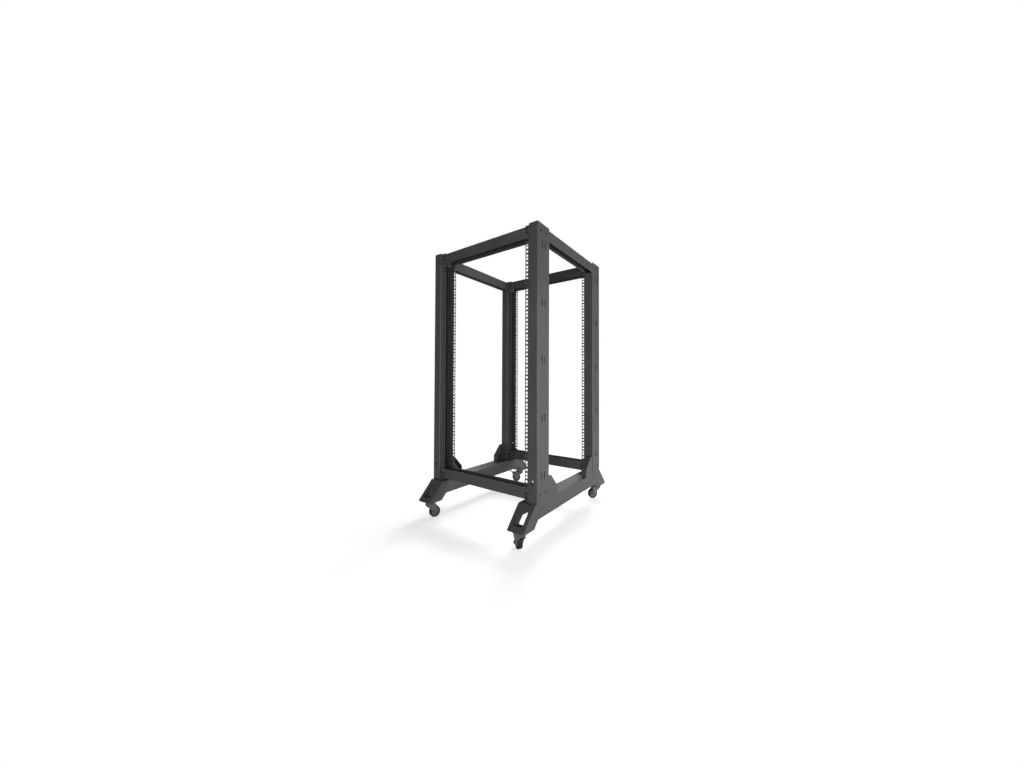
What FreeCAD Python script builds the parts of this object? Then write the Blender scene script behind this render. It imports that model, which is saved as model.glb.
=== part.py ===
import FreeCAD, Part
import math
import os

from FreeCAD import Vector

os.makedirs("parts", exist_ok=True)

# A four post open frame rack on casters, in millimetres.
# Origin: floor, centre of the frame. +X right, +Y to the back, +Z up.

# The 19 inch rack pattern
UNIT = 44.45                     # height of one rack unit
HOLE_HEIGHTS = (6.35, 22.225, 38.1)   # three holes in each unit
HOLE_SIDE = 9.5                  # square hole for a cage nut
HOLE_FROM_EDGE = 7.55            # hole centre to the free edge of the flange
RACK_OPENING = 450.0             # between the flange edges
DRILLED_UNITS = 22
POST_UNITS = 24
FIRST_UNIT_HEIGHT = 53.5         # first unit above the foot of a post

# The frame
FRAME_WIDTH = 575.0
FRAME_DEPTH = 620.0
BASE_LENGTH = 804.0              # over the sharp toes of the base
BASE_HEIGHT = 84.0
CASTER_HEIGHT = 75.0
SEAT_GAP = 0.2                   # between sheets that are bolted together
FIT_GAP = 0.3                    # where one sheet slides past another
BEND_RADIUS = 1.5                # inside every fold
CUT_PAST = 1.0                   # how far a cut runs out of the metal
END_FLAT = 0.01                  # left between the corners of a round end

# The posts
POST_SHEET = 2.0
POST_DEPTH = 90.0
FLANGE_WIDTH = 22.0
STEP_BACK = 11.0                 # the flange lies behind the plain face
SLOT_WIDTH = 6.5
SLOT_HEIGHT = 30.0
SLOT_SPACING = 21.0
SLOT_PAIRS = 5
SLOT_FIRST_UNIT = 1
SLOT_STEP_UNITS = 5
EARTH_HOLE = 6.0                 # two small holes low in the plain faces
EARTH_HOLE_HEIGHTS = (72.0, 84.0)
SCREW_HOLE = 7.0                 # countersunk, two at each end of a web
SCREW_SINK = 12.0
SCREW_SPACING = 40.0
FOOT_SCREW_HEIGHT = 32.5         # above the foot of the post

# The beams
BEAM_SHEET = 2.0
TOP_BEAM_HEIGHT = 46.0
TOP_BEAM_DROP = 4.3              # below the top of the posts
BOTTOM_BEAM_HEIGHT = 45.0
BOTTOM_BEAM_LIFT = 8.0           # above the foot of the posts
BEAM_DEPTH = 50.0
EAR_OVERLAP = 19.5               # of the front wall on the flange

# The base
BASE_SHEET = 2.5
BASE_WIDTH = 72.8
TOE_SLOPE = 80.0                 # the toe stands this far out at the floor
CHEEK_DEPTH = 57.0
LEG_LENGTH = 78.0
LEG_SLANT = 27.0
EAR_HEIGHT = 87.5
EAR_FLAT = 23.0
EAR_LENGTH = 76.0
EAR_TOE_HEIGHT = 31.0
LIP_WIDTH = 24.0
TAB_LENGTH = 26.0                # of the foot, under the top plate
WINDOW_WIDTH = 40.0
WINDOW_START = 29.0
WINDOW_LENGTH = 58.0
WINDOW_CORNER = 3.0

# The casters
WHEEL_RADIUS = 25.0
WHEEL_WIDTH = 18.0
TYRE_SHOULDER = 3.0
HUB_RADIUS = 17.0
HUB_WIDTH = 20.0
HUB_BOSS = 8.0
HUB_WEB = 5.0
HUB_RIM = 2.5
RIM_SET_BACK = 1.0               # from the sides of the tyre
AXLE_RADIUS = 4.0
AXLE_HEAD_RADIUS = 6.5
AXLE_HEAD_HEIGHT = 4.5
TRAIL = 21.5
FORK_SHEET = 2.5
FORK_SIDE_GAP = 0.4
FORK_END_RADIUS = 8.5
FORK_FRONT = 20.0
FORK_BACK = 26.0
CROWN_CLEARANCE = 7.0            # over the wheel
CROWN_RADIUS = 19.0
HEAD_GAP = 0.4                   # the ball race between crown and head
HEAD_RADIUS = 21.0
PIN_RADIUS = 5.0
PIN_HEAD_RADIUS = 7.0
PIN_HEAD_HEIGHT = 2.3
RUNNING_GAP = 0.06
NUT_ACROSS = 17.0
NUT_HEIGHT = 8.0
CASTER_INSET = 41.0              # swivel axis behind the toe

# The brakes
BRAKED = ("front_right", "rear_left")
BRAKE_PIN_BACK = 21.0            # behind the axle
BRAKE_PIN_UP = 27.0              # above the axle
BRAKE_PIN_RADIUS = 1.5
BRAKE_BOSS_RADIUS = 4.0
BRAKE_LOBE_RADIUS = 5.5
BRAKE_SIDE_GAP = 0.5
PEDAL_SHEET = 2.5
PEDAL_RISE = 6.0
PEDAL_LENGTH = 20.0

# Which way each caster trails at rest, in degrees from +X
TRAIL_ANGLES = {
    "front_left": 72.0,
    "front_right": 145.0,
    "rear_left": 220.0,
    "rear_right": 235.0,
}

# Levels and faces that more than one piece shares
BASE_TOP = CASTER_HEIGHT + BASE_HEIGHT
POST_HEIGHT = POST_UNITS * UNIT
POST_TOP = BASE_TOP + POST_HEIGHT
UNIT_ZERO = BASE_TOP + FIRST_UNIT_HEIGHT
FRONT = -FRAME_DEPTH / 2
POST_BACK = FRONT + POST_DEPTH
FLANGE_FACE = FRONT + STEP_BACK
REAR_FLANGE_FACE = STEP_BACK - POST_BACK
WEB_OUTSIDE = FRAME_WIDTH / 2
WEB_INSIDE = WEB_OUTSIDE - POST_SHEET
FLANGE_EDGE = RACK_OPENING / 2
STEP_FACE = FLANGE_EDGE + FLANGE_WIDTH
POCKET_SIDE = STEP_FACE + POST_SHEET
POCKET_END = FRONT + POST_SHEET + BEND_RADIUS + FIT_GAP
CORNER_DEPTH = POST_SHEET + BEND_RADIUS
THROUGH_WEB = (WEB_INSIDE - CUT_PAST, POST_SHEET + 2 * CUT_PAST)
TOP_BEAM_TOP = POST_TOP - TOP_BEAM_DROP
TOP_BEAM_FOOT = TOP_BEAM_TOP - TOP_BEAM_HEIGHT
BOTTOM_BEAM_FOOT = BASE_TOP + BOTTOM_BEAM_LIFT
BOTTOM_BEAM_TOP = BOTTOM_BEAM_FOOT + BOTTOM_BEAM_HEIGHT
CHEEK_OUTSIDE = WEB_INSIDE - SEAT_GAP
CHEEK_INSIDE = CHEEK_OUTSIDE - BASE_SHEET
BASE_SIDE = CHEEK_OUTSIDE - BASE_WIDTH
TOE = -BASE_LENGTH / 2
EAR_TOP = BASE_TOP + EAR_HEIGHT
CASTER_X = CHEEK_OUTSIDE - BASE_WIDTH / 2
CASTER_Y = TOE + CASTER_INSET


def on_plane(plane, u, v, w):
    """The point u, v of a section that stands at w along the third axis."""
    if plane == "XY":
        return Vector(u, v, w)
    if plane == "YZ":
        return Vector(w, u, v)
    return Vector(u, w, v)


def along_plane(plane, length):
    return on_plane(plane, 0, 0, length)


def direction(start, end):
    du = end[0] - start[0]
    dv = end[1] - start[1]
    length = math.hypot(du, dv)
    return du / length, dv / length


def beside(path, distance):
    """The path moved to its left by distance, with its corners mitred."""
    steps = [direction(a, b) for a, b in zip(path, path[1:])]
    moved = []
    for index, (u, v) in enumerate(path):
        before = steps[max(index - 1, 0)]
        after = steps[min(index, len(steps) - 1)]
        spread = 1 + before[0] * after[0] + before[1] * after[1]
        shift_u = -(before[1] + after[1]) / spread
        shift_v = (before[0] + after[0]) / spread
        moved.append((u + shift_u * distance, v + shift_v * distance))
    return moved


def turns_left(before, corner, after):
    first = direction(before, corner)
    second = direction(corner, after)
    return first[0] * second[1] - first[1] * second[0] > 0


def round_corner(before, corner, after, radius):
    """Where an arc leaves and rejoins the two lines, and its middle."""
    first = direction(before, corner)
    second = direction(corner, after)
    cosine = first[0] * second[0] + first[1] * second[1]
    turn = math.acos(max(-1.0, min(1.0, cosine)))
    reach = radius * math.tan(turn / 2)
    start = (corner[0] - first[0] * reach, corner[1] - first[1] * reach)
    end = (corner[0] + second[0] * reach, corner[1] + second[1] * reach)
    chord = ((start[0] + end[0]) / 2, (start[1] + end[1]) / 2)
    inward = direction(corner, chord)
    depth = radius / math.cos(turn / 2) - radius
    middle = (corner[0] + inward[0] * depth, corner[1] + inward[1] * depth)
    return start, middle, end


def rounded_edges(path, radii, plane, w, closed=False):
    """Lines through path with an arc of its own radius at each corner."""
    count = len(path)
    corners = []
    for index, corner in enumerate(path):
        is_end = not closed and index in (0, count - 1)
        if is_end or radii[index] == 0:
            corners.append((corner, None, corner))
            continue
        before = path[index - 1]
        after = path[(index + 1) % count]
        corners.append(round_corner(before, corner, after, radii[index]))
    edges = []
    for index, (start, middle, end) in enumerate(corners):
        if middle is not None:
            points = [on_plane(plane, p[0], p[1], w) for p in (start, middle, end)]
            edges.append(Part.Arc(*points).toShape())
        if index == count - 1 and not closed:
            break
        following = corners[(index + 1) % count][0]
        a = on_plane(plane, end[0], end[1], w)
        b = on_plane(plane, following[0], following[1], w)
        edges.append(Part.LineSegment(a, b).toShape())
    return edges


def fold(path, sheet, plane, w, length):
    """A folded sheet: path is its face line, the metal lies to its left."""
    other = beside(path, sheet)
    near = [0.0]
    far = [0.0]
    for before, corner, after in zip(path, path[1:], path[2:]):
        left = turns_left(before, corner, after)
        near.append(BEND_RADIUS + sheet if left else BEND_RADIUS)
        far.append(BEND_RADIUS if left else BEND_RADIUS + sheet)
    near.append(0.0)
    far.append(0.0)
    edges = rounded_edges(path, near, plane, w)
    edges += rounded_edges(other, far, plane, w)
    for a, b in ((path[0], other[0]), (path[-1], other[-1])):
        start = on_plane(plane, a[0], a[1], w)
        end = on_plane(plane, b[0], b[1], w)
        edges.append(Part.LineSegment(start, end).toShape())
    wire = Part.Wire(Part.__sortEdges__(edges))
    return Part.Face(wire).extrude(along_plane(plane, length))


def plate(outline, radii, plane, w, thickness):
    """A flat plate with the given outline and corner radii."""
    edges = rounded_edges(outline, radii, plane, w, closed=True)
    wire = Part.Wire(Part.__sortEdges__(edges))
    return Part.Face(wire).extrude(along_plane(plane, thickness))


def block(x, y, z):
    """A box from three pairs of limits."""
    size = [limits[1] - limits[0] for limits in (x, y, z)]
    return Part.makeBox(*size, Vector(x[0], y[0], z[0]))


def turned(points):
    """A solid of revolution about Z from radius, height pairs."""
    corners = [Vector(r, 0, z) for r, z in points]
    corners.append(corners[0])
    face = Part.Face(Part.makePolygon(corners))
    return face.revolve(Vector(0, 0, 0), Vector(0, 0, 1), 360)


def mirror_x(shape):
    return shape.mirror(Vector(0, 0, 0), Vector(1, 0, 0))


def mirror_y(shape):
    return shape.mirror(Vector(0, 0, 0), Vector(0, 1, 0))


def write(node, shape):
    shape.exportStep("parts/" + node + ".step")


# ---------------------------------------------------------------- posts

def rack_holes():
    """The square holes of one column, long enough for both flanges."""
    x = FLANGE_EDGE + HOLE_FROM_EDGE
    half = HOLE_SIDE / 2
    y = (FLANGE_FACE - CUT_PAST, POST_BACK - STEP_BACK + CUT_PAST)
    holes = []
    for unit in range(DRILLED_UNITS):
        for height in HOLE_HEIGHTS:
            z = UNIT_ZERO + unit * UNIT + height
            holes.append(block((x - half, x + half), y, (z - half, z + half)))
    return holes


def web_slots():
    """Upright slots in pairs up the middle of the web."""
    middle = (FRONT + POST_BACK) / 2
    straight = SLOT_HEIGHT / 2
    slots = []
    for pair in range(SLOT_PAIRS):
        unit = SLOT_FIRST_UNIT + pair * SLOT_STEP_UNITS
        z = UNIT_ZERO + unit * UNIT
        for side in (-1, 1):
            y = middle + side * SLOT_SPACING / 2
            left = y - SLOT_WIDTH / 2
            right = y + SLOT_WIDTH / 2
            outline = [
                (left, z - straight),
                (right, z - straight),
                (right, z + straight),
                (left, z + straight),
            ]
            radii = [SLOT_WIDTH / 2 - END_FLAT] * 4
            slots.append(plate(outline, radii, "YZ", *THROUGH_WEB))
    return slots


def screw_sinks():
    """Countersunk holes that hold the top side beam and the base."""
    middle = (FRONT + POST_BACK) / 2
    beam_middle = TOP_BEAM_TOP - TOP_BEAM_HEIGHT / 2
    sinks = []
    for z in (BASE_TOP + FOOT_SCREW_HEIGHT, beam_middle):
        for side in (-1, 1):
            y = middle + side * SCREW_SPACING / 2
            inner = Vector(WEB_INSIDE, y, z)
            sink = Part.makeCone(
                SCREW_HOLE / 2, SCREW_SINK / 2, POST_SHEET, inner, Vector(1, 0, 0)
            )
            sinks.append(sink)
    return sinks


def earth_holes():
    """Two small round holes through the plain front face."""
    x = (POCKET_SIDE + WEB_INSIDE) / 2
    holes = []
    for height in EARTH_HOLE_HEIGHTS:
        start = Vector(x, FRONT - CUT_PAST, BASE_TOP + height)
        depth = POST_SHEET + 2 * CUT_PAST
        holes.append(Part.makeCylinder(EARTH_HOLE / 2, depth, start, Vector(0, 1, 0)))
    return holes


def make_post():
    """The front right post: a folded channel that opens to the inside."""
    path = [
        (FLANGE_EDGE, FLANGE_FACE),
        (STEP_FACE, FLANGE_FACE),
        (STEP_FACE, FRONT),
        (WEB_OUTSIDE, FRONT),
        (WEB_OUTSIDE, POST_BACK),
        (STEP_FACE, POST_BACK),
        (STEP_FACE, POST_BACK - STEP_BACK),
        (FLANGE_EDGE, POST_BACK - STEP_BACK),
    ]
    post = fold(path, POST_SHEET, "XY", BASE_TOP, POST_HEIGHT)
    behind = (POST_BACK - CORNER_DEPTH, POST_BACK + CUT_PAST)
    beam_notch = block(
        (POCKET_SIDE, WEB_INSIDE),
        behind,
        (TOP_BEAM_FOOT - FIT_GAP, POST_TOP + CUT_PAST),
    )
    ear_notch = block(
        (CHEEK_INSIDE - FIT_GAP, WEB_INSIDE),
        behind,
        (BASE_TOP - CUT_PAST, EAR_TOP + FIT_GAP),
    )
    cuts = rack_holes() + web_slots() + earth_holes() + screw_sinks()
    cuts += [beam_notch, ear_notch]
    return post.cut(Part.makeCompound(cuts))


# ---------------------------------------------------------------- beams

def cross_beam(flange_face, foot, top, opens_down):
    """A channel whose front wall laps over the front of both flanges."""
    front_wall = flange_face - SEAT_GAP - BEAM_SHEET
    rear_wall = front_wall + BEAM_DEPTH
    if opens_down:
        path = [(rear_wall, foot), (rear_wall, top), (front_wall, top), (front_wall, foot)]
    else:
        path = [(front_wall, top), (front_wall, foot), (rear_wall, foot), (rear_wall, top)]
    half = FLANGE_EDGE + EAR_OVERLAP
    beam = fold(path, BEAM_SHEET, "YZ", -half, 2 * half)
    between = FLANGE_EDGE - FIT_GAP
    behind = (front_wall + BEAM_SHEET, rear_wall + CUT_PAST)
    for side in (-1, 1):
        x = sorted((side * between, side * (half + CUT_PAST)))
        beam = beam.cut(block(x, behind, (foot - CUT_PAST, top + CUT_PAST)))
    return beam


def side_beam():
    """The right hand beam, from pocket to pocket of the two posts."""
    inner = POCKET_SIDE + FIT_GAP
    outer = WEB_INSIDE - FIT_GAP
    path = [
        (outer, TOP_BEAM_FOOT),
        (outer, TOP_BEAM_TOP),
        (inner, TOP_BEAM_TOP),
        (inner, TOP_BEAM_FOOT),
    ]
    return fold(path, BEAM_SHEET, "XZ", POCKET_END, -2 * POCKET_END)


# ---------------------------------------------------------------- base

def slope_at(height):
    """Y of the sloping toe at a height above the underside of the base."""
    return TOE + TOE_SLOPE * height / BASE_HEIGHT


def cheek_plate(upper, x, thickness):
    """A cheek from the upper half of its front outline, the same at the rear.

    The underside runs from toe to heel and up the slanted leg at both ends.
    """
    bend = BASE_SHEET + BEND_RADIUS
    heel = TOE + LEG_LENGTH
    lower = [
        ((heel + LEG_SLANT, BASE_TOP - CHEEK_DEPTH), bend),
        ((heel, CASTER_HEIGHT), bend),
        ((TOE, CASTER_HEIGHT), bend),
    ]
    front = lower + upper
    rear = [((-point[0], point[1]), radius) for point, radius in reversed(front)]
    outline = front + rear
    points = [point for point, radius in outline]
    radii = [radius for point, radius in outline]
    return plate(points, radii, "YZ", x, thickness)


def base_channel():
    """The right hand base: side plate with ears, top plate, inner cheek."""
    bend = BASE_SHEET + BEND_RADIUS
    toe_top = ((slope_at(BASE_HEIGHT), BASE_TOP), bend)
    ear_end = POST_BACK + EAR_LENGTH
    ear = [
        ((POCKET_END, BASE_TOP), 0.0),
        ((POCKET_END, EAR_TOP), bend),
        ((POST_BACK + EAR_FLAT, EAR_TOP), bend),
        ((ear_end, BASE_TOP + EAR_TOE_HEIGHT), bend),
        ((ear_end, BASE_TOP), 0.0),
    ]
    side = cheek_plate([toe_top] + ear, CHEEK_INSIDE, BASE_SHEET)

    path = [
        (CHEEK_INSIDE, BASE_TOP),
        (BASE_SIDE, BASE_TOP),
        (BASE_SIDE, CASTER_HEIGHT),
    ]
    folded = fold(path, BASE_SHEET, "XZ", TOE, -2 * TOE)
    folded = folded.common(cheek_plate([toe_top], BASE_SIDE, BASE_WIDTH))

    lip_path = [
        (ear_end, BASE_TOP),
        (ear_end, BASE_TOP + EAR_TOE_HEIGHT),
        (POST_BACK + EAR_FLAT, EAR_TOP),
        (POST_BACK + FIT_GAP, EAR_TOP),
    ]
    lip = fold(lip_path, BASE_SHEET, "YZ", CHEEK_OUTSIDE - LIP_WIDTH, LIP_WIDTH)
    return side.fuse([folded, lip, mirror_y(lip)]).removeSplitter()


def foot_plate():
    """The front right foot: a sheet folded down the toe and under it."""
    under_top = BASE_TOP - BASE_SHEET - SEAT_GAP
    bend_y = slope_at(under_top - CASTER_HEIGHT)
    path = [
        (bend_y + TAB_LENGTH, under_top),
        (bend_y, under_top),
        (TOE, CASTER_HEIGHT),
        (TOE + LEG_LENGTH, CASTER_HEIGHT),
    ]
    left = BASE_SIDE + BASE_SHEET + SEAT_GAP
    right = CHEEK_INSIDE - SEAT_GAP
    foot = fold(path, BASE_SHEET, "YZ", left, right - left)
    bend_room = block(
        (left - CUT_PAST, left + BEND_RADIUS),
        (TOE, bend_y + TAB_LENGTH + CUT_PAST),
        (under_top - BEND_RADIUS, under_top + CUT_PAST),
    )

    slope = math.degrees(math.atan2(BASE_HEIGHT, TOE_SLOPE))
    half = WINDOW_WIDTH / 2
    outline = [
        (CASTER_X - half, -WINDOW_START - WINDOW_LENGTH),
        (CASTER_X + half, -WINDOW_START - WINDOW_LENGTH),
        (CASTER_X + half, -WINDOW_START),
        (CASTER_X - half, -WINDOW_START),
    ]
    window = plate(outline, [WINDOW_CORNER] * 4, "XY", -4 * BASE_SHEET, 8 * BASE_SHEET)
    window.rotate(Vector(0, 0, 0), Vector(1, 0, 0), slope)
    window.translate(Vector(0, slope_at(BASE_HEIGHT), BASE_TOP))
    bore = Part.makeCylinder(
        PIN_RADIUS + FIT_GAP,
        4 * BASE_SHEET,
        Vector(CASTER_X, CASTER_Y, CASTER_HEIGHT - BASE_SHEET),
    )
    return foot.cut([bend_room, window, bore])


# -------------------------------------------------------------- casters
# Each caster is drawn with its swivel axis on Z and its trail along +X.

AXLE_HEIGHT = WHEEL_RADIUS
CROWN_UNDER = 2 * WHEEL_RADIUS + CROWN_CLEARANCE
CROWN_TOP = CROWN_UNDER + FORK_SHEET
HEAD_FOOT = CROWN_TOP + HEAD_GAP
LEG_INSIDE = HUB_WIDTH / 2 + FORK_SIDE_GAP
LEG_OUTSIDE = LEG_INSIDE + FORK_SHEET
BRAKE_X = TRAIL + BRAKE_PIN_BACK
BRAKE_Z = AXLE_HEIGHT + BRAKE_PIN_UP


def lay_on_axle(shape):
    """Turn a solid of revolution from Z onto the axle of the wheel."""
    shape.rotate(Vector(0, 0, 0), Vector(1, 0, 0), 90)
    shape.translate(Vector(TRAIL, 0, AXLE_HEIGHT))
    return shape


def caster_head():
    """The fixed half: a pressed cup with its king pin, nutted in the foot."""
    seat = CASTER_HEIGHT - SEAT_GAP
    neck = (HEAD_FOOT + seat) / 2
    pin_foot = CROWN_UNDER - FIT_GAP - PIN_HEAD_HEIGHT
    nut_foot = CASTER_HEIGHT + BASE_SHEET + SEAT_GAP
    body = turned([
        (0, pin_foot),
        (PIN_HEAD_RADIUS, pin_foot),
        (PIN_HEAD_RADIUS, CROWN_UNDER - FIT_GAP),
        (PIN_RADIUS, CROWN_UNDER - FIT_GAP),
        (PIN_RADIUS, HEAD_FOOT),
        (CROWN_RADIUS, HEAD_FOOT),
        (HEAD_RADIUS, HEAD_FOOT + HEAD_RADIUS - CROWN_RADIUS),
        (HEAD_RADIUS, neck),
        (CROWN_RADIUS, seat),
        (PIN_RADIUS, seat),
        (PIN_RADIUS, nut_foot + NUT_HEIGHT),
        (0, nut_foot + NUT_HEIGHT),
    ])
    corner = NUT_ACROSS / math.sqrt(3)
    hexagon = []
    for side in range(6):
        angle = math.radians(60 * side)
        hexagon.append((corner * math.cos(angle), corner * math.sin(angle)))
    nut = plate(hexagon, [0.0] * 6, "XY", nut_foot, NUT_HEIGHT)
    return body.fuse(nut)


def brake_lobes():
    """The extra metal of both legs that carries the pin of the brake."""
    outline = [
        (FORK_BACK - FORK_END_RADIUS, CROWN_TOP - BEND_RADIUS - FORK_SHEET),
        (FORK_BACK - FORK_END_RADIUS, AXLE_HEIGHT),
        (TRAIL + FORK_END_RADIUS, AXLE_HEIGHT),
        (BRAKE_X + BRAKE_LOBE_RADIUS, BRAKE_Z - BRAKE_LOBE_RADIUS),
        (BRAKE_X + BRAKE_LOBE_RADIUS, CROWN_TOP - BEND_RADIUS - FORK_SHEET),
    ]
    radii = [0.0, 0.0, 0.0, BRAKE_LOBE_RADIUS / 2, BRAKE_LOBE_RADIUS / 2]
    return [
        plate(outline, radii, "XZ", start, FORK_SHEET)
        for start in (LEG_INSIDE, -LEG_OUTSIDE)
    ]


def fork(braked):
    """Crown and two legs in one pressing that narrow down to the axle."""
    end = AXLE_HEIGHT - FORK_END_RADIUS
    path = [
        (LEG_OUTSIDE, end),
        (LEG_OUTSIDE, CROWN_TOP),
        (-LEG_OUTSIDE, CROWN_TOP),
        (-LEG_OUTSIDE, end),
    ]
    legs = fold(path, FORK_SHEET, "YZ", -FORK_FRONT, FORK_FRONT + FORK_BACK)
    outline = [
        (-FORK_FRONT, CROWN_TOP),
        (-FORK_FRONT, CROWN_UNDER - FORK_SHEET),
        (TRAIL - FORK_END_RADIUS, AXLE_HEIGHT + FORK_END_RADIUS / 2),
        (TRAIL - FORK_END_RADIUS, end),
        (TRAIL + FORK_END_RADIUS, end),
        (TRAIL + FORK_END_RADIUS, AXLE_HEIGHT + FORK_END_RADIUS),
        (FORK_BACK, CROWN_TOP),
    ]
    round_end = FORK_END_RADIUS - END_FLAT
    radii = [0.0, 0.0, 2 * FORK_END_RADIUS / 3, round_end, round_end, 0.0, 0.0]
    width = 2 * (LEG_OUTSIDE + CUT_PAST)
    legs = legs.common(plate(outline, radii, "XZ", -width / 2, width))
    crown = Part.makeCylinder(CROWN_RADIUS, FORK_SHEET, Vector(0, 0, CROWN_UNDER))
    added = [crown]
    cuts = [
        Part.makeCylinder(
            PIN_RADIUS + RUNNING_GAP,
            3 * FORK_SHEET,
            Vector(0, 0, CROWN_UNDER - FORK_SHEET),
        ),
        lay_on_axle(
            Part.makeCylinder(AXLE_RADIUS + SEAT_GAP, width, Vector(0, 0, -width / 2))
        ),
    ]
    if braked:
        added += brake_lobes()
        cuts.append(brake_bar(BRAKE_PIN_RADIUS + SEAT_GAP, width))
    return legs.fuse(added).removeSplitter().cut(cuts)


def brake_bar(radius, length):
    """A bar on the axis of the brake pin."""
    start = Vector(BRAKE_X, -length / 2, BRAKE_Z)
    return Part.makeCylinder(radius, length, start, Vector(0, 1, 0))


def brake_pin():
    """The pin of the brake, riveted flush in both legs."""
    return brake_bar(BRAKE_PIN_RADIUS, 2 * LEG_OUTSIDE)


def brake_lever():
    """A boss on the pin with a pedal that rises out behind the wheel."""
    width = 2 * (LEG_INSIDE - BRAKE_SIDE_GAP)
    foot = BRAKE_Z + BRAKE_BOSS_RADIUS - PEDAL_SHEET
    path = [
        (BRAKE_X, foot),
        (BRAKE_X + PEDAL_RISE, foot),
        (BRAKE_X + 2 * PEDAL_RISE, foot + PEDAL_RISE),
        (BRAKE_X + PEDAL_LENGTH, foot + PEDAL_RISE),
    ]
    pedal = fold(path, PEDAL_SHEET, "XZ", -width / 2, width)
    boss = brake_bar(BRAKE_BOSS_RADIUS, width)
    bore = brake_bar(BRAKE_PIN_RADIUS + RUNNING_GAP, 2 * width)
    return boss.fuse(pedal).removeSplitter().cut(bore)


def axle():
    """A plain axle with a flat head outside each leg."""
    seat = LEG_OUTSIDE + SEAT_GAP
    end = seat + AXLE_HEAD_HEIGHT
    return lay_on_axle(turned([
        (0, -end),
        (AXLE_HEAD_RADIUS, -end),
        (AXLE_HEAD_RADIUS, -seat),
        (AXLE_RADIUS, -seat),
        (AXLE_RADIUS, seat),
        (AXLE_HEAD_RADIUS, seat),
        (AXLE_HEAD_RADIUS, end),
        (0, end),
    ]))


def wheel_hub():
    """Bore, boss, thin web and rim."""
    bore = AXLE_RADIUS + RUNNING_GAP
    rim = WHEEL_WIDTH / 2 - RIM_SET_BACK
    return lay_on_axle(turned([
        (bore, -HUB_WIDTH / 2),
        (HUB_BOSS, -HUB_WIDTH / 2),
        (HUB_BOSS, -HUB_WEB / 2),
        (HUB_RADIUS - HUB_RIM, -HUB_WEB / 2),
        (HUB_RADIUS - HUB_RIM, -rim),
        (HUB_RADIUS, -rim),
        (HUB_RADIUS, rim),
        (HUB_RADIUS - HUB_RIM, rim),
        (HUB_RADIUS - HUB_RIM, HUB_WEB / 2),
        (HUB_BOSS, HUB_WEB / 2),
        (HUB_BOSS, HUB_WIDTH / 2),
        (bore, HUB_WIDTH / 2),
    ]))


def wheel_tyre():
    """The tread, with rounded shoulders, on the rim of the hub."""
    inside = HUB_RADIUS + SEAT_GAP / 2
    half = WHEEL_WIDTH / 2
    shoulder = TYRE_SHOULDER
    eased = shoulder * (1 - math.sqrt(0.5))
    return lay_on_axle(turned([
        (inside, -half),
        (WHEEL_RADIUS - shoulder, -half),
        (WHEEL_RADIUS - eased, -half + eased),
        (WHEEL_RADIUS, -half + shoulder),
        (WHEEL_RADIUS, half - shoulder),
        (WHEEL_RADIUS - eased, half - eased),
        (WHEEL_RADIUS - shoulder, half),
        (inside, half),
    ]))


def place_caster(shape, corner):
    """Turn a drawn piece to its rest angle and stand it at its corner."""
    end, side = corner.split("_")
    x = CASTER_X if side == "right" else -CASTER_X
    y = CASTER_Y if end == "front" else -CASTER_Y
    placed = shape.copy()
    placed.rotate(Vector(0, 0, 0), Vector(0, 0, 1), TRAIL_ANGLES[corner])
    placed.translate(Vector(x, y, 0))
    return placed


# ------------------------------------------------------------- assembly

def place_corner(shape, corner):
    """Mirror the front right piece to any corner."""
    if corner.endswith("left"):
        shape = mirror_x(shape)
    if corner.startswith("rear"):
        shape = mirror_y(shape)
    return shape


post = make_post()
foot = foot_plate()
plain_fork = fork(False)
brake_fork = fork(True)
caster_pieces = {
    "caster_head": caster_head(),
    "caster_axle": axle(),
    "wheel_hub": wheel_hub(),
    "wheel_tyre": wheel_tyre(),
}
for corner in TRAIL_ANGLES:
    write("post_" + corner, place_corner(post, corner))
    write("foot_" + corner, place_corner(foot, corner))
    braked = corner in BRAKED
    pieces = dict(caster_pieces, caster_fork=brake_fork if braked else plain_fork)
    if braked:
        pieces["brake_pin"] = brake_pin()
        pieces["brake_lever"] = brake_lever()
    for name, piece in pieces.items():
        write(name + "_" + corner, place_caster(piece, corner))

for end, flange_face in (("front", FLANGE_FACE), ("rear", REAR_FLANGE_FACE)):
    write("top_beam_" + end, cross_beam(flange_face, TOP_BEAM_FOOT, TOP_BEAM_TOP, True))
    write("bottom_beam_" + end, cross_beam(flange_face, BOTTOM_BEAM_FOOT, BOTTOM_BEAM_TOP, False))

right_beam = side_beam()
right_base = base_channel()
write("top_beam_right", right_beam)
write("top_beam_left", mirror_x(right_beam))
write("base_channel_right", right_base)
write("base_channel_left", mirror_x(right_base))
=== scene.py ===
# %% [markdown]
# # A four post open frame rack
#
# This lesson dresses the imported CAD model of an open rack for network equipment.
# The folded sheets, the casters and every hole are CAD nodes. They could be
# modelled again in Blender, but then the picture and the part would drift apart,
# so they are loaded as they are and only get materials. Blender adds what the CAD
# leaves out: a powder coat with grain and rubbed folds, steel, plastic and
# rubber, and the small screws, bolts and rivets.

import bpy
import math
from mathutils import Matrix, Vector


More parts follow.
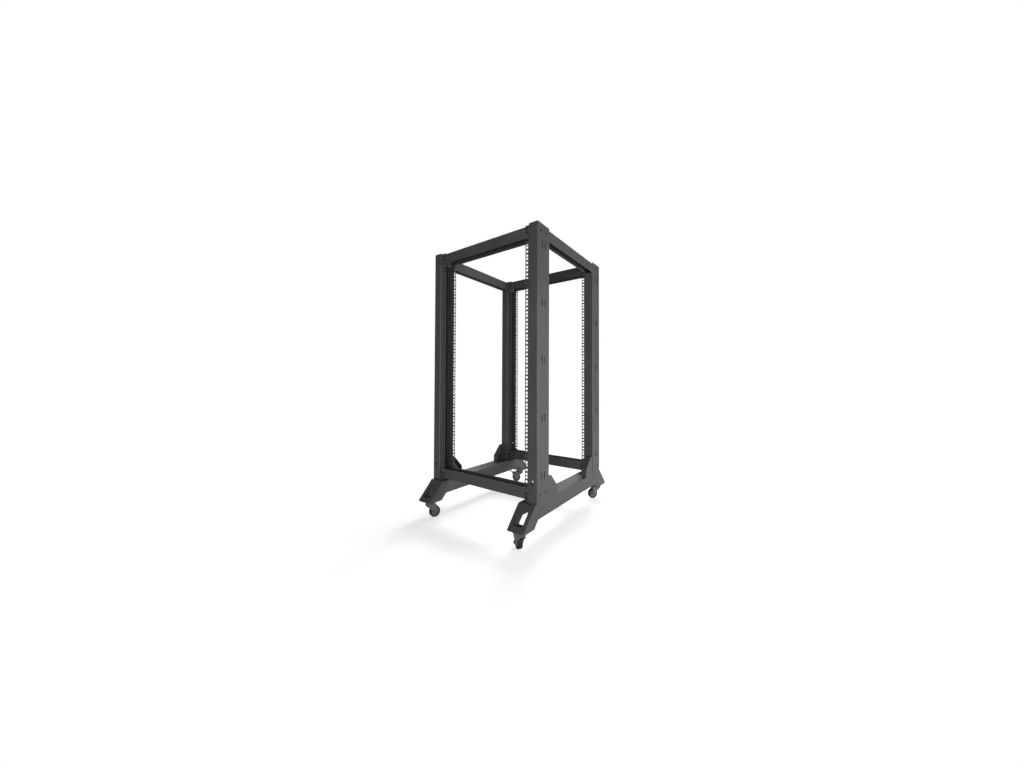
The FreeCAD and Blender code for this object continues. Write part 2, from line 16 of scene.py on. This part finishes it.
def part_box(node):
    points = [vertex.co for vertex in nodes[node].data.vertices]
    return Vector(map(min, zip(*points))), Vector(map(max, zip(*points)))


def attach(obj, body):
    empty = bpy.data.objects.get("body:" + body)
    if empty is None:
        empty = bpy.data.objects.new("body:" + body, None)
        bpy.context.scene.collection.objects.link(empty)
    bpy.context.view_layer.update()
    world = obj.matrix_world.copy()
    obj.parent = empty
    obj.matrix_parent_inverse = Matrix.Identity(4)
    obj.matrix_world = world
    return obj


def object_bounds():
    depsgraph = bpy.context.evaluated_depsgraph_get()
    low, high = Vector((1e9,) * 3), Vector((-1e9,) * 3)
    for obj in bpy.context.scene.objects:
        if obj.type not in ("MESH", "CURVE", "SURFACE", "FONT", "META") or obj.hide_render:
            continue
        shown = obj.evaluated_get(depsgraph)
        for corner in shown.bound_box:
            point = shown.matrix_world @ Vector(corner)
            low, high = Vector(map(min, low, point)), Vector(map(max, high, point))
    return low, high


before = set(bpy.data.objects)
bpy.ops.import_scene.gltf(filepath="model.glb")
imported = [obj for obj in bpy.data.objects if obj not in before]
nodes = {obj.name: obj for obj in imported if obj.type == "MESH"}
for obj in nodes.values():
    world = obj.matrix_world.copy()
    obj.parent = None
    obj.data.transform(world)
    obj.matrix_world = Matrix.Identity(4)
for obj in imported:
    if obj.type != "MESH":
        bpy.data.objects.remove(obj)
cad_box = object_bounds()
print("size in metres", [round(v, 4) for v in cad_box[1] - cad_box[0]])

# %% [markdown]
# ## Add nodes and join them
#
# A material is a tree of nodes. It can be drawn by hand in the shader editor, or
# written as code, which can be read and repeated. These helpers add a node and
# fill its sockets, so that each finish below reads as a short list.


# %% Add nodes and join them
def new_material(name):
    """A material with an empty tree."""
    material = bpy.data.materials.new(name)
    material.use_nodes = True
    material.node_tree.nodes.clear()
    return material, material.node_tree


def add(tree, kind, **settings):
    """Add a node and set its options."""
    node = tree.nodes.new(kind)
    for key, value in settings.items():
        setattr(node, key, value)
    return node


def feed(tree, node, name, value):
    """Set an input, or join it when value is another node's output."""
    socket = node.inputs[name]
    if isinstance(value, bpy.types.NodeSocket):
        tree.links.new(value, socket)
    else:
        socket.default_value = value


def show(tree, shader):
    """Join a shader to the material's output."""
    output = add(tree, "ShaderNodeOutputMaterial")
    feed(tree, output, "Surface", shader.outputs[0])


print("helpers", [helper.__name__ for helper in (new_material, add, feed, show)])

# %% [markdown]
# ## Numbers, noise and colours
#
# Real surfaces are never one even colour. Noise in the object's own space gives
# soft patches or a fine grain, with no image to unwrap and at any distance. A map
# range stretches the part of the noise that is wanted, and a mix turns it into
# colour.

# %% Numbers, noise and colours
MIX_FACTOR, MIX_FIRST, MIX_SECOND = 0, 6, 7  # the Mix node's inputs for colours
MIX_RESULT = 2                               # and its output for them
NOISE_LOW, NOISE_HIGH = 0.3, 0.7             # most of a noise lies between these


def math_node(tree, operation, a, b):
    node = add(tree, "ShaderNodeMath", operation=operation)
    feed(tree, node, 0, a)
    feed(tree, node, 1, b)
    return node.outputs[0]


def noise(tree, place, scale, detail, roughness):
    node = add(tree, "ShaderNodeTexNoise")
    feed(tree, node, "Vector", place)
    feed(tree, node, "Scale", scale)
    feed(tree, node, "Detail", detail)
    feed(tree, node, "Roughness", roughness)
    return node.outputs["Fac"]


def spread(tree, value, low, high, to_low=0.0, to_high=1.0):
    """Stretch low..high to to_low..to_high, and stop at both ends."""
    node = add(tree, "ShaderNodeMapRange", clamp=True)
    feed(tree, node, "Value", value)
    feed(tree, node, "From Min", low)
    feed(tree, node, "From Max", high)
    feed(tree, node, "To Min", to_low)
    feed(tree, node, "To Max", to_high)
    return node.outputs["Result"]


def shade(colour, share):
    """A colour made darker or lighter, with the fourth value that sockets take."""
    return (*[part * share for part in colour], 1.0)


def blend_colour(tree, factor, first, second):
    node = add(tree, "ShaderNodeMix", data_type="RGBA")
    feed(tree, node, MIX_FACTOR, factor)
    feed(tree, node, MIX_FIRST, first)
    feed(tree, node, MIX_SECOND, second)
    return node.outputs[MIX_RESULT]


print("half of light grey is", shade((0.8, 0.8, 0.8), 0.5))

# %% [markdown]
# ## Rounded folds
#
# No fold of a real sheet is sharp, and paint rubs off there first. A bevel
# modifier would round the edges but change the CAD meshes. The Bevel node only
# gives the normal that a rounded edge would have, which softens it in the light.
# Where that normal leans away from the true one lies an edge, so the same node
# also makes a mask of every fold and hole, with no painting.


# %% Rounded folds
def rounded_normal(tree, radius):
    bevel = add(tree, "ShaderNodeBevel", samples=6)
    feed(tree, bevel, "Radius", radius)
    return bevel.outputs["Normal"]


def edge_mask(tree, rounded):
    """Nothing on flat sheet, rising to one on an edge."""
    dot = add(tree, "ShaderNodeVectorMath", operation="DOT_PRODUCT")
    feed(tree, dot, 0, rounded)
    feed(tree, dot, 1, add(tree, "ShaderNodeNewGeometry").outputs["Normal"])
    lean = math_node(tree, "SUBTRACT", 1.0, dot.outputs["Value"])
    return spread(tree, lean, 0.02, 0.25)


def bump(tree, height, distance, strength, normal):
    """Small relief in the light, distance metres high."""
    node = add(tree, "ShaderNodeBump")
    feed(tree, node, "Height", height)
    feed(tree, node, "Distance", distance)
    feed(tree, node, "Strength", strength)
    feed(tree, node, "Normal", normal)
    return node.outputs["Normal"]


print("helpers", [helper.__name__ for helper in (rounded_normal, edge_mask, bump)])

# %% [markdown]
# ## Powder coat
#
# Powder coat is plastic dust that is baked on the sheet. It is dark and satin,
# with a fine grain about a millimetre across. A flat grey would look like a toy,
# and an image of paint would repeat, so three noises do the work: one wide and
# soft for the tone, one for the grain, one for paler specks. Dust lies on faces
# that look up, and folds are rubbed slightly paler.

# %% Powder coat
FOLD_RADIUS = 0.0009
DUST_COLOUR = (0.30, 0.29, 0.28)


def dust_mask(tree, tone):
    """Soft patches of dust on faces that look up."""
    facing = add(tree, "ShaderNodeSeparateXYZ")
    feed(tree, facing, 0, add(tree, "ShaderNodeNewGeometry").outputs["Normal"])
    up = spread(tree, facing.outputs["Z"], 0.6, 1.0)
    return math_node(tree, "MULTIPLY", up, spread(tree, tone, 0.35, 0.8, 0.05, 0.30))


def coat_colour(tree, colour, tone, grain, speck, rounded):
    soft = spread(tree, tone, NOISE_LOW, NOISE_HIGH)
    base = blend_colour(tree, soft, shade(colour, 0.88), shade(colour, 1.10))
    pale = spread(tree, speck, 0.62, 0.78, 0.0, 0.35)
    base = blend_colour(tree, pale, base, shade(colour, 1.7))
    base = blend_colour(tree, dust_mask(tree, tone), base, shade(DUST_COLOUR, 1.0))
    rubbed = spread(tree, grain, 0.35, 0.65, 0.15, 0.5)
    wear = math_node(tree, "MULTIPLY", edge_mask(tree, rounded), rubbed)
    return blend_colour(tree, wear, base, shade(colour, 2.6))


def powder_coat(name, colour, rough):
    material, tree = new_material(name)
    place = add(tree, "ShaderNodeTexCoord").outputs["Object"]
    rounded = rounded_normal(tree, FOLD_RADIUS)
    tone = noise(tree, place, scale=9.0, detail=4.0, roughness=0.6)
    grain = noise(tree, place, scale=900.0, detail=2.0, roughness=0.55)
    speck = noise(tree, place, scale=2600.0, detail=1.0, roughness=0.5)
    height = math_node(tree, "ADD", grain, math_node(tree, "MULTIPLY", speck, 0.4))

    shader = add(tree, "ShaderNodeBsdfPrincipled")
    feed(tree, shader, "Base Color", coat_colour(tree, colour, tone, grain, speck, rounded))
    feed(tree, shader, "Specular IOR Level", 0.45)
    feed(tree, shader, "Roughness",
         spread(tree, tone, NOISE_LOW, NOISE_HIGH, rough - 0.05, rough + 0.06))
    feed(tree, shader, "Normal", bump(tree, height, 0.00025, 0.35, rounded))
    show(tree, shader)
    return material


frame_coat = powder_coat("frame powder coat", (0.058, 0.059, 0.061), rough=0.50)
caster_coat = powder_coat("caster powder coat", (0.098, 0.099, 0.102), rough=0.40)
print("powder coats", frame_coat.name, "and", caster_coat.name)

# %% [markdown]
# ## Steel
#
# Axles and pins are turned on a lathe and left bare, screws are blackened, and
# the bolts of the casters have a dark zinc plate. All three are metals that
# differ only in colour and roughness, so one function makes them. Noise of a
# third of a millimetre stands for the marks of the tool, and a wider one stains
# the metal a little.

# %% Steel
TURNED_RADIUS = 0.0004


def turned_steel(name, colour, rough):
    material, tree = new_material(name)
    place = add(tree, "ShaderNodeTexCoord").outputs["Object"]
    stain = noise(tree, place, scale=220.0, detail=4.0, roughness=0.6)
    marks = noise(tree, place, scale=3200.0, detail=1.0, roughness=0.4)
    soft = spread(tree, stain, NOISE_LOW, NOISE_HIGH)
    base = blend_colour(tree, soft, shade(colour, 0.8), shade(colour, 1.0))
    rounded = rounded_normal(tree, TURNED_RADIUS)

    shader = add(tree, "ShaderNodeBsdfPrincipled")
    feed(tree, shader, "Base Color", base)
    feed(tree, shader, "Metallic", 1.0)
    feed(tree, shader, "Roughness",
         spread(tree, stain, NOISE_LOW, NOISE_HIGH, rough - 0.06, rough + 0.08))
    feed(tree, shader, "Normal", bump(tree, marks, 0.00008, 0.3, rounded))
    show(tree, shader)
    return material


bright_steel = turned_steel("turned steel", (0.46, 0.46, 0.47), rough=0.34)
black_screw = turned_steel("blackened steel", (0.045, 0.045, 0.048), rough=0.42)
zinc = turned_steel("dark zinc plate", (0.11, 0.11, 0.12), rough=0.38)
print("metals", [metal.name for metal in (bright_steel, black_screw, zinc)])

# %% [markdown]
# ## Rubber and plastic
#
# The tyre is nearly black and rough, the hub a grey moulded plastic with a soft,
# even sheen. Both get scuffed where they roll over grit, which shows as paler
# patches. A separate material for each could be drawn, but they have the same
# make, so one function takes the colour, the roughness and the grain.

# %% Rubber and plastic
MOULDED_RADIUS = 0.0006


def moulded(name, colour, rough, grain_scale, depth):
    material, tree = new_material(name)
    place = add(tree, "ShaderNodeTexCoord").outputs["Object"]
    grain = noise(tree, place, scale=grain_scale, detail=3.0, roughness=0.6)
    scuff = noise(tree, place, scale=60.0, detail=5.0, roughness=0.65)
    patches = spread(tree, scuff, 0.45, 0.75, 0.0, 0.5)
    base = blend_colour(tree, patches, shade(colour, 1.0), shade(colour, 2.2))
    rounded = rounded_normal(tree, MOULDED_RADIUS)

    shader = add(tree, "ShaderNodeBsdfPrincipled")
    feed(tree, shader, "Base Color", base)
    feed(tree, shader, "Specular IOR Level", 0.35)
    feed(tree, shader, "Roughness",
         spread(tree, scuff, NOISE_LOW, NOISE_HIGH, rough - 0.06, rough + 0.08))
    feed(tree, shader, "Normal", bump(tree, grain, depth, 0.4, rounded))
    show(tree, shader)
    return material


tyre_rubber = moulded("tyre rubber", (0.012, 0.012, 0.012), rough=0.72,
                      grain_scale=1500.0, depth=0.0002)
hub_plastic = moulded("hub plastic", (0.14, 0.14, 0.14), rough=0.45,
                      grain_scale=1200.0, depth=0.0001)
print("materials", len(bpy.data.materials))

# %% [markdown]
# ## Dress the CAD nodes
#
# The sheets of the frame share one coat. The casters are bought parts, with a
# slightly lighter one. Materials could be set node by node, but each node's name
# says what it is, so a short list of name beginnings dresses them all.

# %% Dress the CAD nodes
FINISHES = {
    "post_": frame_coat,
    "top_beam_": frame_coat,
    "bottom_beam_": frame_coat,
    "base_channel_": frame_coat,
    "foot_": frame_coat,
    "caster_head_": caster_coat,
    "caster_fork_": caster_coat,
    "caster_axle_": bright_steel,
    "brake_pin_": bright_steel,
    "brake_lever_": caster_coat,
    "wheel_hub_": hub_plastic,
    "wheel_tyre_": tyre_rubber,
}
for name, node in nodes.items():
    finish = next(finish for start, finish in FINISHES.items() if name.startswith(start))
    for material_slot in node.material_slots:
        material_slot.material = finish
print("dressed", len(nodes), "nodes")

# %% [markdown]
# ## A head is a stack of rings
#
# Screws, bolts and rivets are turned or pressed about an axis. A lathe modifier
# could spin a profile, but it can't make a hexagon. Here a head is a stack of
# rings, each with its own radius at every angle: a circle where it is round, a
# hexagon where a key or a spanner grips. Neighbouring rings are joined by faces.

# %% Rings
SIDES = 36
ANGLES = [2 * math.pi * side / SIDES for side in range(SIDES)]


def circle(radius, z):
    return [(radius, z)] * SIDES


def hexagon_radius(angle, across):
    """Distance from the middle to a hexagon that is across wide over its flats."""
    turn = (angle + math.pi / 6) % (math.pi / 3) - math.pi / 6
    return across / 2 / math.cos(turn)


def hexagon(across, z, wider=0.0):
    return [(hexagon_radius(angle, across) + wider, z) for angle in ANGLES]


def join_rings(rings):
    """Points and four sided faces of a stack of rings."""
    points, faces = [], []
    for ring in rings:
        for angle, (radius, z) in zip(ANGLES, ring):
            points.append(Vector((radius * math.cos(angle), radius * math.sin(angle), z)))
    for row in range(len(rings) - 1):
        for side in range(SIDES):
            a, b = row * SIDES + side, row * SIDES + (side + 1) % SIDES
            faces.append((a, b, b + SIDES, a + SIDES))
    return points, faces


print("a 4 mm hexagon is", round(2000 * max(hexagon(0.004, 0.0))[0], 2), "mm over its corners")

# %% [markdown]
# ## Button head screws
#
# The beams are held by button heads: low domes with a hexagonal socket. The
# rings run from the rim over the dome to the edge of the socket, down its walls
# and to its floor. A plain dome would do from far away, but the socket's dark
# spot is what makes a dot read as a screw.

# %% Button head
RIM_SHARE = 0.22      # share of the height that is upright
DOME_STEP = 16        # degrees from ring to ring over the dome
SOCKET_MARGIN = 0.62  # the dome stops at this share of the socket's width
SOCKET_RIM = 0.02     # flat rim around the socket, a share of the head's width
SOCKET_EASE = 0.94    # share of the height where the socket's walls begin
SOCKET_FLOOR = 1.15   # the drill's point goes this share of the depth down


def button_head(head, height, socket, depth):
    rings = [circle(head / 2, 0.0), circle(head / 2, height * RIM_SHARE)]
    for step in range(1, 6):
        turn = math.radians(DOME_STEP * step)
        radius = head / 2 * math.cos(turn)
        if radius > socket * SOCKET_MARGIN:
            rise = RIM_SHARE + (1 - RIM_SHARE) * math.sin(turn)
            rings.append(circle(radius, height * rise))
    rings.append(hexagon(socket, height, wider=head * SOCKET_RIM))
    rings.append(hexagon(socket, height * SOCKET_EASE))
    rings.append(hexagon(socket, height - depth))
    rings.append(circle(0.0, height - depth * SOCKET_FLOOR))
    return join_rings(rings)


button = button_head(head=0.0105, height=0.0030, socket=0.0040, depth=0.0016)
print("one screw has", len(button[0]), "points")

# %% [markdown]
# ## Copies on one mesh
#
# Four screws hold each beam. Each could be an object of its own, but one mesh
# with all copies keeps the list of pieces short and moves as one. The function
# turns the shape to the outward direction of every place, and lets the piece
# ride the body that carries it, so it follows when the part is posed.


# %% Copy a shape to its places
def place_copies(name, shape, places, body, material):
    """Copy one shape to each place (point, outward direction) as one mesh."""
    points, faces = [], []
    for spot, outward in places:
        turn = Vector(outward).to_track_quat("Z", "Y").to_matrix().to_4x4()
        matrix = Matrix.Translation(Vector(spot)) @ turn
        start = len(points)
        points += [matrix @ point for point in shape[0]]
        faces += [tuple(i + start for i in face) for face in shape[1]]
    mesh = bpy.data.meshes.new(name)
    mesh.from_pydata(points, [], faces)
    mesh.validate()
    mesh.shade_smooth()
    mesh.materials.append(material)
    piece = bpy.data.objects.new(name, mesh)
    bpy.context.scene.collection.objects.link(piece)
    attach(piece, body)
    print(name, "on", body, "copies", len(places))


# %% [markdown]
# ## Screws of the front and rear beams
#
# The front wall of each of these beams lies on the drilled flanges of two posts.
# Its screws go through the columns of square holes, in the unit above the last
# free one at the top and in the unit below the first at the foot. Their places
# are worked out from the rack's own pitch and not typed in, so they meet the
# holes.

# %% Beam screws
HOLE_COLUMN = 0.23255             # from the middle of the rack to a column of holes
UNIT = 0.04445                    # height of one rack unit
FREE_UNITS = 22
FIRST_UNIT = 0.0535               # from the foot of a post to its first unit
SCREW_ROWS = (0.00635, 0.022225)  # the two lower holes of a unit

first_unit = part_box("post_front_right")[0].z + FIRST_UNIT
SCREWED_UNITS = {"top": first_unit + FREE_UNITS * UNIT, "bottom": first_unit - UNIT}
for end in ("front", "rear"):
    for level, unit in SCREWED_UNITS.items():
        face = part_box(level + "_beam_" + end)[0].y
        places = [((side * HOLE_COLUMN, face, unit + row), (0, -1, 0))
                  for side in (-1, 1) for row in SCREW_ROWS]
        place_copies(level + "_beam_screws_" + end, button, places, "frame", black_screw)

# %% [markdown]
# ## Countersunk screws in the webs
#
# At the sides the posts are screwed through their webs, to the side beam at the
# top and to the base at the foot. These screws have flat heads that sink into
# the sheet, so nothing stands out. The head is a short cone, flat on top, with
# the same socket. It is a little smaller than the sunk hole, as a real one is,
# which leaves a thin dark ring around it.

# %% Countersunk screws
WEB_SCREW_LIFT = 0.0325  # lower pair above the foot of the post
WEB_SCREW_SPACING = 0.040
SUNK_SEAT = 0.00205      # the narrow end lies this deep under the web's face
CONE_TOP = 0.0003        # the cone ends this far under the flat top
CHAMFER = 0.0002


def sunk_head(head, neck, height, socket, depth):
    """A cone that widens to a flat top with a hexagonal socket."""
    return join_rings([
        circle(neck / 2, 0.0),
        circle(head / 2 - CHAMFER, height - CONE_TOP),
        circle(head / 2 - 2 * CHAMFER, height),
        hexagon(socket, height, wider=CHAMFER),
        hexagon(socket, height - CHAMFER),
        hexagon(socket, height - depth),
        circle(0.0, height - depth),
    ])


sunk = sunk_head(head=0.0112, neck=0.0068, height=0.0020, socket=0.0040, depth=0.0014)
beam_low, beam_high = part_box("top_beam_right")
posts = sorted(name for name in nodes if name.startswith("post_"))
for post in posts:
    lo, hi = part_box(post)
    outward = 1 if "right" in post else -1
    face = hi.x if outward == 1 else lo.x
    middle = (lo.y + hi.y) / 2
    places = [((face - outward * SUNK_SEAT, middle + side * WEB_SCREW_SPACING / 2, z),
               (outward, 0, 0))
              for z in (lo.z + WEB_SCREW_LIFT, (beam_low.z + beam_high.z) / 2)
              for side in (-1, 1)]
    place_copies("web_screws_" + post.removeprefix("post_"), sunk, places, "frame", black_screw)

# %% [markdown]
# ## Earth screws
#
# Metal racks are wired to earth. Each post has two small holes low in its plain
# face, and a small screw waits in the lower one for the earth wire. It is a
# button head again, only smaller, so the same function makes it.

# %% Earth screws
POCKET_MIDDLE = 0.26725  # between the step of the flange and the web
EARTH_HEIGHT = 0.072     # above the foot of the post

small_button = button_head(head=0.0092, height=0.0026, socket=0.0030, depth=0.0012)
for post in posts:
    lo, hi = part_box(post)
    toward = -1 if "front" in post else 1
    face = lo.y if toward == -1 else hi.y
    x = POCKET_MIDDLE if "right" in post else -POCKET_MIDDLE
    places = [((x, face, lo.z + EARTH_HEIGHT), (0, toward, 0))]
    place_copies("earth_screw_" + post.removeprefix("post_"), small_button, places,
                 "frame", black_screw)

# %% [markdown]
# ## Axle bolts and rivets
#
# The axle of a small caster is a bolt with a nut. The CAD has its two ends as
# flat discs. On each goes what a disc leaves out: a washer with an eased rim and
# a hexagon whose corners are turned down. The brake pin is riveted and ends in
# two low round heads.

# %% Shapes of bolt and rivet
TOP_DISC = 0.30      # radius of the flat top, a share of the hexagon's width
WASHER_EASE = 0.3    # share of the washer's thickness taken off its rim
RIVET_STEP = 18      # degrees from ring to ring over a rivet


def hexagon_head(across, height, ease):
    """A hexagonal head whose corners are turned down to a round top."""
    corner = across / 2 / math.cos(math.pi / 6)
    rings = [hexagon(across, 0.0)]
    for share in (0.0, 0.5, 1.0):
        z = height - ease * 0.5 * (1.0 - share)
        rings.append([(min(radius, corner - ease * share), z)
                      for radius, _ in hexagon(across, z)])
    rings.append(circle(across * TOP_DISC, height))
    rings.append(circle(0.0, height))
    return join_rings(rings)


def washer_and_head(wide, thick, across, height, ease):
    points, faces = join_rings([
        circle(wide / 2, 0.0),
        circle(wide / 2, thick * (1 - WASHER_EASE)),
        circle(wide / 2 - thick * WASHER_EASE, thick),
        circle(0.0, thick),
    ])
    head_points, head_faces = hexagon_head(across, height, ease)
    start = len(points)
    points += [point + Vector((0, 0, thick)) for point in head_points]
    faces += [tuple(i + start for i in face) for face in head_faces]
    return points, faces


def rivet_head(wide, height):
    turns = [math.radians(RIVET_STEP * step) for step in range(6)]
    return join_rings([circle(wide / 2 * math.cos(turn), height * math.sin(turn))
                       for turn in turns])


bolt = washer_and_head(wide=0.0105, thick=0.0006, across=0.0080, height=0.0016, ease=0.0008)
rivet = rivet_head(wide=0.0060, height=0.0012)
print("points of a bolt", len(bolt[0]), "and of a rivet", len(rivet[0]))

# %% [markdown]
# ## Bolts and rivets on the casters
#
# The casters stand at different angles, as they do after a rack was pushed, so
# no axle lies along x or y. Each wheel trails behind its swivel, and its axle
# lies across that line. The direction is measured from the CAD nodes, and so is
# the reach of each axle and pin, which puts every head on its end.


# %% Bolts and rivets on the casters
def middle_of(node):
    lo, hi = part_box(node)
    return (lo + hi) / 2


def axle_direction(corner):
    """Level direction across the line from the swivel to the axle."""
    trail = middle_of("caster_axle_" + corner) - middle_of("caster_head_" + corner)
    trail.z = 0.0
    return trail.cross(Vector((0, 0, 1))).normalized()


def reach_along(node, direction):
    """How far the node's points reach from its middle in a direction."""
    centre = middle_of(node)
    points = [nodes[node].matrix_world @ v.co for v in nodes[node].data.vertices]
    return max((point - centre).dot(direction) for point in points)


HEADS = (("axle_bolts_", bolt, "caster_axle_"), ("brake_rivets_", rivet, "brake_pin_"))
corners = sorted(name.removeprefix("caster_axle_") for name in nodes
                 if name.startswith("caster_axle_"))
for corner in corners:
    across = axle_direction(corner)
    for kind, shape, start in HEADS:
        node = start + corner
        if node in nodes:
            reach = reach_along(node, across)
            places = [(middle_of(node) + across * reach * side, across * side)
                      for side in (-1, 1)]
            place_copies(kind + corner, shape, places, "swivel_" + corner, zinc)

# %% [markdown]
# ## Floor
#
# Product pictures are taken on a sheet of white paper. A white floor under
# strong lamps would do, but it would light the rack from below. This floor is
# pale and matt, and takes light and shadow as paper does. Rays from the camera
# see a little glow on top of it, and farther out only white, so it meets the
# background with no edge. The light on the rack doesn't change with that.

# %% Floor
FLOOR_REACH = 40.0
FLOOR_GAP = 0.0002       # below the lowest point of the wheels
FLOOR_COLOUR = (0.8, 0.8, 0.8)
FLOOR_GLOW = 0.55
WHITE_FROM, WHITE_TO = 0.55, 1.1  # the floor turns white between these distances


def floor_material():
    material, tree = new_material("floor")
    seen = add(tree, "ShaderNodeLightPath").outputs["Is Camera Ray"]
    matt = add(tree, "ShaderNodeBsdfDiffuse")
    feed(tree, matt, "Color", shade(FLOOR_COLOUR, 1.0))
    glow = add(tree, "ShaderNodeEmission")
    feed(tree, glow, "Strength", math_node(tree, "MULTIPLY", seen, FLOOR_GLOW))
    near = add(tree, "ShaderNodeAddShader")
    feed(tree, near, 0, matt.outputs[0])
    feed(tree, near, 1, glow.outputs[0])

    distance = add(tree, "ShaderNodeVectorMath", operation="LENGTH")
    feed(tree, distance, 0, add(tree, "ShaderNodeTexCoord").outputs["Object"])
    far = spread(tree, distance.outputs["Value"], WHITE_FROM, WHITE_TO)
    both = add(tree, "ShaderNodeMixShader")
    feed(tree, both, 0, math_node(tree, "MULTIPLY", far, seen))
    feed(tree, both, 1, near.outputs[0])
    feed(tree, both, 2, add(tree, "ShaderNodeEmission").outputs[0])
    show(tree, both)
    return material


def pale_floor():
    mesh = bpy.data.meshes.new("floor")
    corner_points = [(x * FLOOR_REACH, y * FLOOR_REACH, 0)
                     for x, y in ((-1, -1), (1, -1), (1, 1), (-1, 1))]
    mesh.from_pydata(corner_points, [], [(0, 1, 2, 3)])
    mesh.materials.append(floor_material())
    floor = bpy.data.objects.new("floor", mesh)
    bpy.context.scene.collection.objects.link(floor)
    floor.location.z = cad_box[0].z - FLOOR_GAP
    return floor


pale_floor()
print("floor", 2 * FLOOR_REACH, "metres wide, white from", WHITE_TO, "metres out")

# %% [markdown]
# ## World
#
# The room gives a faint, even light that keeps the insides of the posts from
# going quite black. A stronger one would flatten the folds. Rays from the camera
# see the world white, so the background is white at no cost in light.

# %% World
WORLD_LIGHT = 0.06


def soft_world(strength):
    world = bpy.data.worlds.new("studio")
    bpy.context.scene.world = world
    world.use_nodes = True
    tree = world.node_tree
    tree.nodes.clear()
    seen = add(tree, "ShaderNodeLightPath").outputs["Is Camera Ray"]
    background = add(tree, "ShaderNodeBackground")
    feed(tree, background, "Color", (1.0, 1.0, 1.0, 1.0))
    feed(tree, background, "Strength", spread(tree, seen, 0.0, 1.0, strength, 1.0))
    output = add(tree, "ShaderNodeOutputWorld")
    feed(tree, output, "Surface", background.outputs[0])


soft_world(WORLD_LIGHT)
print("world light", WORLD_LIGHT)

# %% [markdown]
# ## Lamps
#
# Dark satin sheet shows its shape by the difference between its faces, so every
# direction gets its own soft lamp. The one at the right lights the webs, the low
# one in front gives the plain faces their dark grey and reaches into the left
# posts, the high one behind lights the tops of beams and base, and a weak one at
# the left keeps the far sides apart. Each is a disc of 1.6 m, wide enough for
# soft shadows. Sun lamps would give hard ones.

# %% Lamps
LAMP_WIDTH = 1.6
LAMP_DISTANCE = 3.2
RACK_MIDDLE = Vector((0, 0, 0.6))
LAMPS = (
    # name, degrees round from x, degrees up, watts
    ("right", 20, 3, 74.0),
    ("front", 300, 3, 57.0),
    ("back", 100, 40, 82.0),
    ("left", 150, 8, 23.0),
)


def soft_lamp(name, azimuth, elevation, power):
    """A round soft lamp on a wide circle, turned to the middle of the rack."""
    lamp = bpy.data.lights.new(name, "AREA")
    lamp.shape = "DISK"
    lamp.size = LAMP_WIDTH
    lamp.energy = power
    holder = bpy.data.objects.new(name, lamp)
    bpy.context.scene.collection.objects.link(holder)
    turn, rise = math.radians(azimuth), math.radians(elevation)
    away = Vector((math.cos(turn) * math.cos(rise), math.sin(turn) * math.cos(rise),
                   math.sin(rise)))
    holder.location = RACK_MIDDLE + away * LAMP_DISTANCE
    holder.rotation_euler = (-away).to_track_quat("-Z", "Y").to_euler()
    holder.visible_camera = False
    return holder


for settings in LAMPS:
    lamp = soft_lamp(*settings)
    print("lamp", lamp.name, "at", [round(v, 2) for v in lamp.location])

# %% [markdown]
# ## Camera
#
# The camera stands close to the rack, at half its height, and looks past the
# right front post with a wide lens, which makes the near corner large and the
# far ones small. From farther off with a long lens the rack would look flat. It
# tilts up by one degree and rolls by a quarter, and a small shift of the frame
# keeps the rack in the middle of the picture.

# %% Camera
CAMERA_PLACE = (0.9283, -1.3623, 0.6083)
HEADING, TILT, ROLL = 36.98, 1.045, 0.249  # degrees
LENS, SENSOR = 11.556, 36.0                # millimetres
SHIFT_X, SHIFT_Y = 0.0069, -0.0058         # shares of the picture's width

camera_data = bpy.data.cameras.new("camera")
camera_data.sensor_width = SENSOR
camera_data.lens = LENS
camera_data.shift_x, camera_data.shift_y = SHIFT_X, SHIFT_Y
camera_data.clip_start, camera_data.clip_end = 0.05, 200.0
camera = bpy.data.objects.new("camera", camera_data)
bpy.context.scene.collection.objects.link(camera)
camera.location = CAMERA_PLACE
turn = Matrix.Rotation(math.radians(HEADING), 4, "Z")
tilt = Matrix.Rotation(math.radians(90 + TILT), 4, "X")
roll = Matrix.Rotation(math.radians(ROLL), 4, "Z")
camera.rotation_euler = (turn @ tilt @ roll).to_euler()
bpy.context.scene.camera = camera
bpy.context.scene.view_settings.view_transform = "Standard"
print("camera at", CAMERA_PLACE, "lens", LENS)
